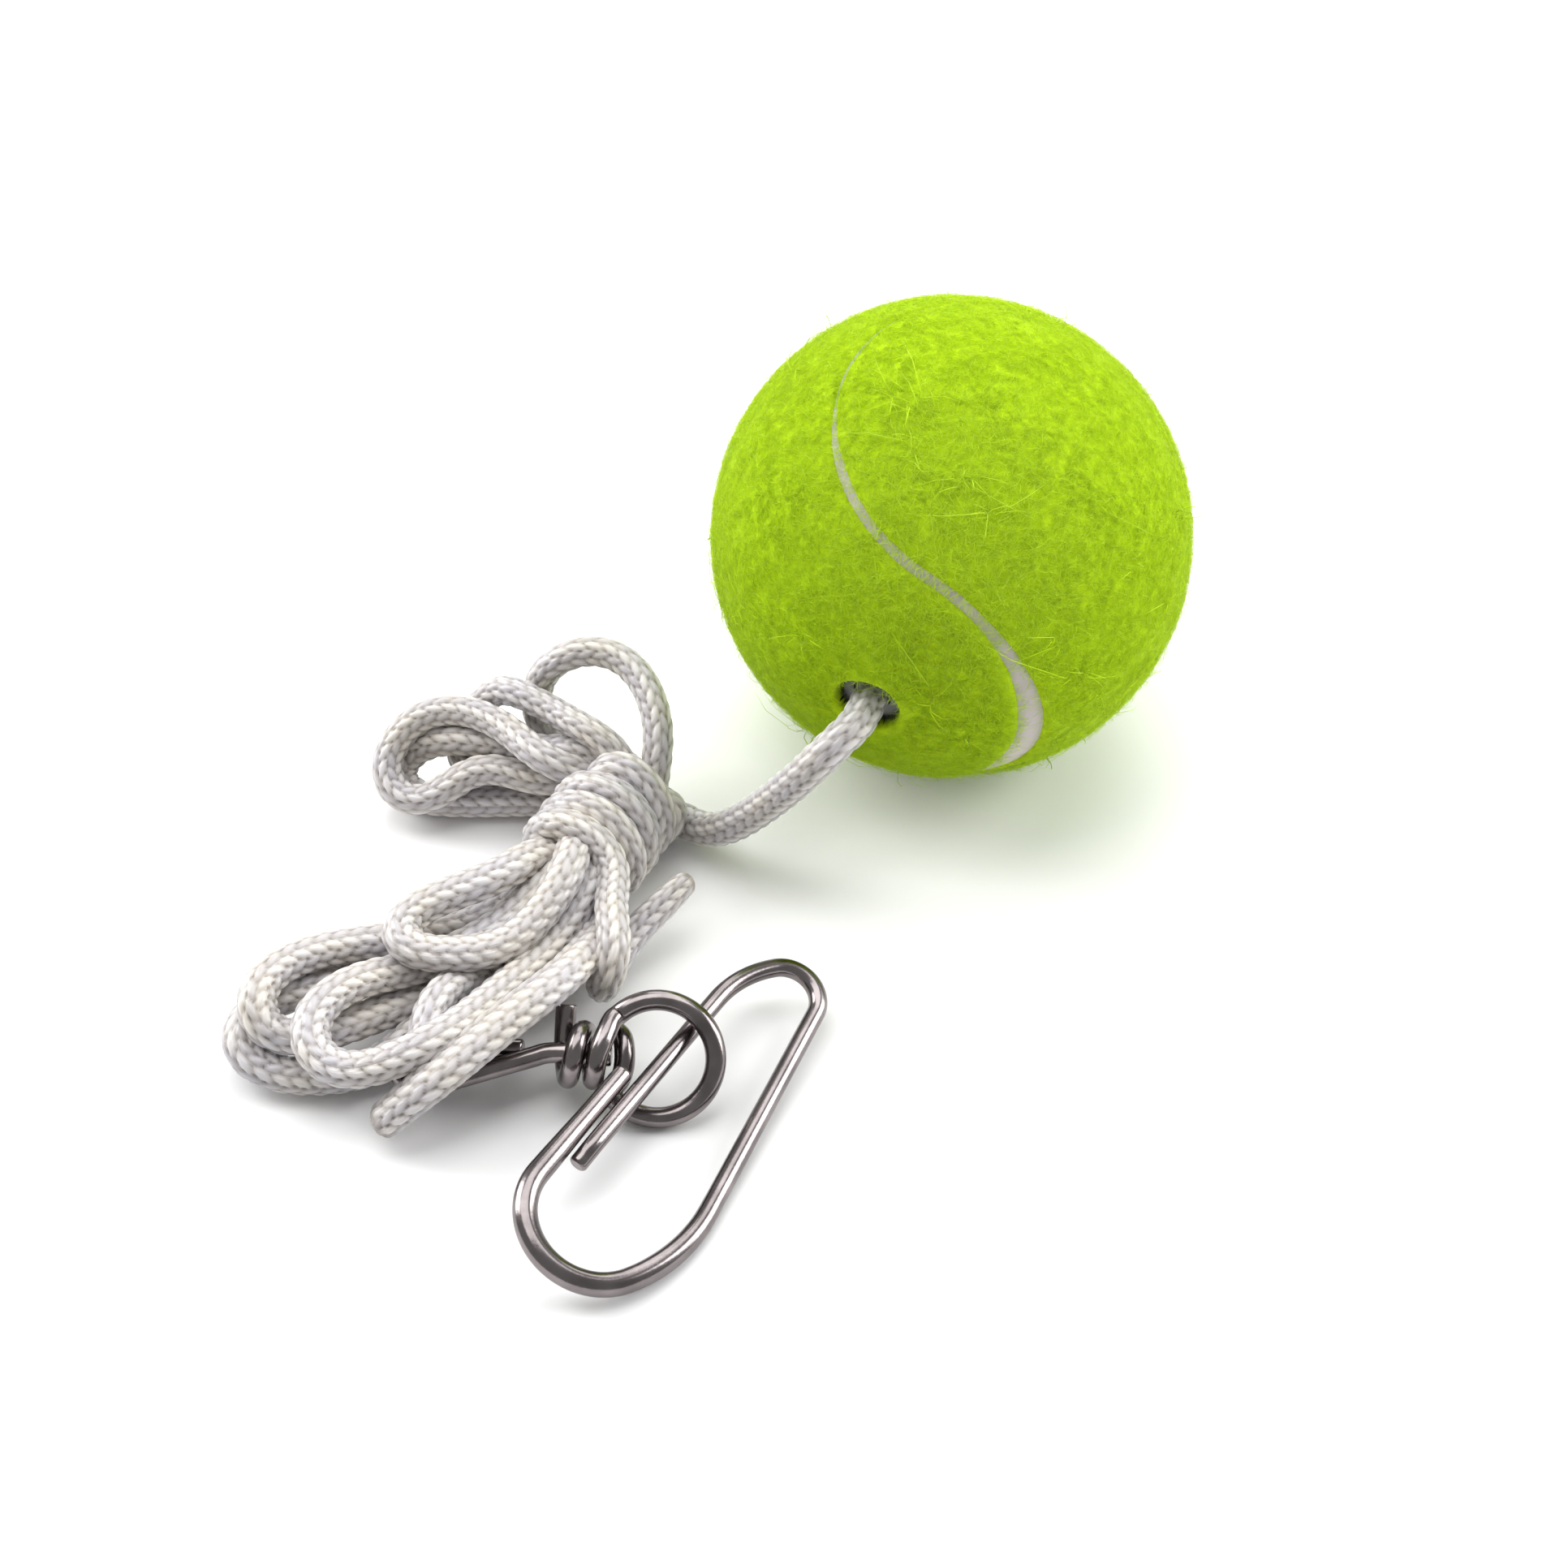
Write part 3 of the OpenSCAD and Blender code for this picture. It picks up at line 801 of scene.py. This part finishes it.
def braided_cord(name, centre, material, tips=(0, 0), shape=None, sides=44, ring_step=0.28):
    """The cord as a mesh tube, with its strands raised and its ends melted to blunt tips.

    tips gives how far each end's melted tip reaches, in millimetres. shape lists places
    along the length (0 to 1), each with the cord's size and its flatness there.
    """
    centre = rounded(resample(centre, ring_step), 30)
    at = lengths_along(centre)
    tangent, normal, other = frames_along(centre)
    angle = np.arange(sides) * 2 * math.pi / sides
    height = braid_height(angle[None, :] / (2 * math.pi) * COLUMNS, (at / PICK)[:, None])
    radius = CORD_D / 2 - RELIEF + RELIEF * 1.1 * height
    for end, melt in zip((0, -1), tips):
        if melt:
            gone = np.clip(np.abs(at - at[end]) / melt, 0, 1)
            cap = np.sqrt(1 - (1 - gone) ** 2)
            radius = radius * (0.05 + 0.95 * cap)[:, None]
            height = height * smooth_step(gone, 0.3, 1.0)[:, None]
    places, sizes, flats = np.array(shape or [(0, 1, 1), (1, 1, 1)], float).T
    radius = radius * np.interp(at / at[-1], places, sizes)[:, None]
    wide = np.interp(at / at[-1], places, flats)[:, None, None]
    level = np.column_stack([tangent[:, 1], -tangent[:, 0], np.zeros(len(centre))])
    level /= np.linalg.norm(level, axis=1)[:, None] + 1e-9
    spoke = (np.cos(angle)[None, :, None] * normal[:, None, :]
             + np.sin(angle)[None, :, None] * other[:, None, :])
    offset = radius[:, :, None] * spoke
    sideways = (offset * level[:, None, :]).sum(2)[:, :, None] * level[:, None, :]
    offset = (offset - sideways) / wide ** 0.9 + sideways * wide
    verts = tube_points(centre[:, None, :] + offset, centre)
    obj = new_object(name, verts, tube_faces(len(centre), sides), material)
    lane = np.tile(np.arange(sides) / sides * COLUMNS, (len(centre), 1))
    # The strands' height, which the material also uses to paint shade into the grooves.
    note_values(obj, "strand", tube_values(height, sides))
    note_values(obj, "along", tube_values(np.repeat(at[:, None], sides, axis=1), sides))
    note_values(obj, "around", tube_values(lane, sides))
    return obj, centre


def make_cords(material, wires):
    """The long tether and the short tie, settled together and meshed."""
    routes = tether_route(), tie_route()
    tether, tie = settle([spline(route, SETTLE_STEP) for route in routes], wires, SETTLE_ROUNDS)
    # Each stretch: where it starts and ends along the cord, its thickness and its flatness.
    lead = (0.0, 0.05, 1.06, 1.0)
    lower = [(start, end, 1.03, 1.12)
             for start, end in ((0.10, 0.18), (0.30, 0.35), (0.47, 0.58), (0.71, 0.81))]
    upper = [(0.21, 0.28, 0.92, 1.0), (0.385, 0.44, 0.90, 1.0), (0.61, 0.68, 0.95, 1.0),
             (0.84, 0.90, 1.0, 1.0), (0.94, 1.0, 1.0, 1.0)]
    loops = sorted([lead] + lower + upper)
    shape = [(place, size, flat) for start, end, size, flat in loops for place in (start, end)]
    tether_obj, tether_line = braided_cord("tether_cord", tether, material, tips=(0, 2.0),
                                           shape=shape)
    tail_to_end = [(0, 1.08, 1.18), (0.05, 1.05, 1.25), (0.17, 1, 1.15), (0.21, 1, 1),
                   (0.9, 1, 1), (0.94, 0.95, 0.95), (0.98, 0.93, 0.9), (1, 0.75, 0.8)]
    tie_obj, tie_line = braided_cord("hank_tie", tie, material, tips=(2.6, 1.6),
                                     shape=tail_to_end)
    for obj in (tether_obj, tie_obj):
        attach(obj, "cord")
    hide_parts("cord_lead", "hank_upper", "hank_arch", "hank_lower", "eye_hitch")
    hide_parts("hank_waist", "tie_tail", "tie_end")


# ---------------------------------------------------------------- materials

class Nodes:
    """A material being wired up, with short ways to add its nodes."""

    def __init__(self, name):
        self.material = bpy.data.materials.new(name)
        self.material.use_nodes = True
        self.tree = self.material.node_tree
        self.shader = self.tree.nodes["Principled BSDF"]

    def add(self, kind, **values):
        node = self.tree.nodes.new("ShaderNode" + kind)
        for key, value in values.items():
            setattr(node, key, value)
        return node

    def link(self, a, b):
        self.tree.links.new(a, b)

    def value(self, name):
        return self.add("Attribute", attribute_name=name).outputs["Fac"]

    def noise(self, scale, detail=3.0):
        node = self.add("TexNoise")
        node.inputs["Scale"].default_value = scale
        node.inputs["Detail"].default_value = detail
        self.link(self.add("TexCoord").outputs["Object"], node.inputs["Vector"])
        return node.outputs["Fac"]

    def math(self, operation, source, number=0.0):
        node = self.add("Math", operation=operation)
        self.link(source, node.inputs[0])
        node.inputs[1].default_value = number
        return node.outputs[0]

    def ramp(self, source, *stops):
        node = self.add("ValToRGB")
        bar = node.color_ramp
        while len(bar.elements) < len(stops):
            bar.elements.new(0.5)
        for element, (place, colour) in zip(bar.elements, stops):
            element.position = place
            element.color = (*colour, 1)
        self.link(source, node.inputs["Fac"])
        return node.outputs["Color"]

    def mix(self, kind, amount, a, b):
        node = self.add("MixRGB", blend_type=kind)
        for socket, value in zip(("Fac", "Color1", "Color2"), (amount, a, b)):
            if isinstance(value, (int, float, tuple)):
                node.inputs[socket].default_value = value
            else:
                self.link(value, node.inputs[socket])
        return node.outputs["Color"]

    def bump(self, height, distance, strength=1.0):
        node = self.add("Bump")
        node.inputs["Strength"].default_value = strength
        node.inputs["Distance"].default_value = distance
        self.link(height, node.inputs["Height"])
        self.link(node.outputs["Normal"], self.shader.inputs["Normal"])

    def colour(self, source):
        self.link(source, self.shader.inputs["Base Color"])

    def set(self, **values):
        for key, value in values.items():
            self.shader.inputs[key.replace("_", " ")].default_value = value


def felt_material():
    n = Nodes("felt")
    blotch = n.ramp(n.value("tone"), (0.1, (0.47, 0.69, 0.004)), (0.9, (0.62, 0.86, 0.016)))
    fine = n.ramp(n.noise(900), (0.3, (0.75, 0.78, 0.6)), (0.7, (1.0, 1.0, 1.0)))
    # Painted shade: the felt's colour goes dark where the nap sits low, at the cut edges down into
    # the seam and at the hairs' roots.
    nap_shade = n.ramp(n.value("nap"), (0.15, (0.06, 0.07, 0.03)), (0.75, (1.0, 1.0, 1.0)))
    n.colour(n.mix("MULTIPLY", 1.0, n.mix("MULTIPLY", 1.0, blotch, fine), nap_shade))
    n.set(Roughness=0.9, Sheen_Weight=0.8, Sheen_Roughness=0.3)
    n.shader.inputs["Sheen Tint"].default_value = (0.8, 1.0, 0.25, 1)
    n.shader.inputs["Specular IOR Level"].default_value = 0.15
    n.bump(n.noise(1400, 5), 0.0002, 0.7)
    return n.material


def rubber_material(name, colour):
    n = Nodes(name)
    speck = n.ramp(n.noise(300), (0.3, tuple(0.9 * c for c in colour)), (0.7, colour))
    n.colour(speck)
    n.set(Roughness=0.75)
    n.bump(n.noise(1500), 0.00008, 0.6)
    return n.material


def cord_material():
    n = Nodes("cord")
    # Painted shade: the grooves between the braid's strands are coloured darker than the strands'
    # tops.
    groove_shade = n.ramp(n.value("strand"), (0.08, (0.33, 0.30, 0.26)), (0.45, (0.47, 0.44, 0.405)),
                    (0.9, (0.68, 0.66, 0.63)))
    hue = n.ramp(n.noise(130, 2), (0.35, (0.92, 0.92, 1.0)), (0.65, (1.0, 0.97, 0.92)))
    # Painted sheen: every other lane of strands is coloured darker, as if strands leaning one way
    # caught less light.
    lane = n.math("ROUND", n.value("around"))
    odd = n.math("MODULO", lane, 2.0)
    lean = n.ramp(odd, (0.25, (1.0, 1.0, 1.0)), (0.75, (0.78, 0.775, 0.80)))
    n.colour(n.mix("MULTIPLY", 1.0, n.mix("MULTIPLY", 0.8, groove_shade, hue), lean))
    n.set(Roughness=0.24, Sheen_Weight=0.15, Subsurface_Weight=0.08)
    n.shader.inputs["Subsurface Radius"].default_value = (0.0012, 0.001, 0.0008)
    joined = n.add("CombineXYZ")
    n.link(n.value("around"), joined.inputs["X"])
    n.link(n.math("MULTIPLY", n.value("along"), 0.12), joined.inputs["Y"])
    threads = n.add("TexNoise")
    threads.inputs["Scale"].default_value = 9
    threads.inputs["Detail"].default_value = 2
    n.link(joined.outputs["Vector"], threads.inputs["Vector"])
    n.bump(threads.outputs["Fac"], 0.00012, 0.5)
    return n.material


def wire_material():
    n = Nodes("wire")
    # Random tarnish blotches, on a base kept dark to stand in for the dark surroundings the metal
    # reflects: a painted dark reflection.
    tarnish_and_dark_reflection = n.ramp(n.noise(160, 4), (0.35, (0.17, 0.15, 0.15)), (0.65, (0.27, 0.24, 0.24)))
    n.colour(tarnish_and_dark_reflection)
    n.set(Metallic=1.0, Roughness=0.2)
    n.bump(n.noise(2500, 3), 0.00002, 0.5)
    return n.material


# ---------------------------------------------------------------- floor and light

def soft_light(name, place, aim, size, power, colour=(1, 1, 1)):
    data = bpy.data.lights.new(name, "AREA")
    data.shape = "RECTANGLE"
    data.size, data.size_y = size
    data.energy = power
    data.color = colour
    obj = bpy.data.objects.new(name, data)
    way = np.array(aim) - np.array(place)
    rise = math.atan2(math.hypot(way[0], way[1]), -way[2])
    obj.rotation_euler = (rise, 0, math.atan2(way[1], way[0]) - math.pi / 2)
    obj.location = place
    bpy.context.collection.objects.link(obj)


def make_studio():
    """A plain pale floor, an even sky and four soft lights."""
    n = Nodes("floor")
    n.set(Roughness=0.9)
    n.shader.inputs["Base Color"].default_value = (0.88, 0.88, 0.88, 1)
    reach = 2000
    corners = [(-reach, -reach, 0), (reach, -reach, 0), (reach, reach, 0), (-reach, reach, 0)]
    floor = new_object("floor", corners, [np.array([[0, 1, 2, 3]])], n.material)
    world = bpy.data.worlds.new("sky")
    bpy.context.scene.world = world
    world.use_nodes = True
    sky = world.node_tree.nodes["Background"]
    sky.inputs["Color"].default_value = (1, 1, 1, 1)
    sky.inputs["Strength"].default_value = 0.36
    soft_light("key", (-0.1, 0.2, 0.9), (0, 0, 0), (1.1, 0.7), 7.4)
    soft_light("back", (0.15, 0.75, 0.6), (0, 0, 0), (0.8, 0.4), 3)
    soft_light("right", (0.7, 0.1, 0.35), (0, 0, 0.03), (0.4, 0.6), 5.4)
    soft_light("left", (-0.65, 0.3, 0.35), (0, 0, 0.03), (0.4, 0.6), 5.4)
    bpy.context.scene.view_settings.view_transform = "Standard"


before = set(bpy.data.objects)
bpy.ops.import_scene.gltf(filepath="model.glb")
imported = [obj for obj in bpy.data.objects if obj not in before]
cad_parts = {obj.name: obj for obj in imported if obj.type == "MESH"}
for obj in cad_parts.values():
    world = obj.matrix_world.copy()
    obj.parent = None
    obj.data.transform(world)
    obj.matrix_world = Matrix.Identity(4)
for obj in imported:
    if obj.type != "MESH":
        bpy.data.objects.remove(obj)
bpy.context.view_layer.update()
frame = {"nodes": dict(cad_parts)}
place_camera()
metal = wire_material()
cord = cord_material()
make_cords(cord, make_wires(metal))
dress(frame, rubber_material("knot", (0.60, 0.58, 0.55)), "stopper_knot")
make_ball(frame, felt_material(), rubber_material("seam", (0.60, 0.54, 0.53)),
          rubber_material("core", (0.30, 0.30, 0.31)))
make_studio()
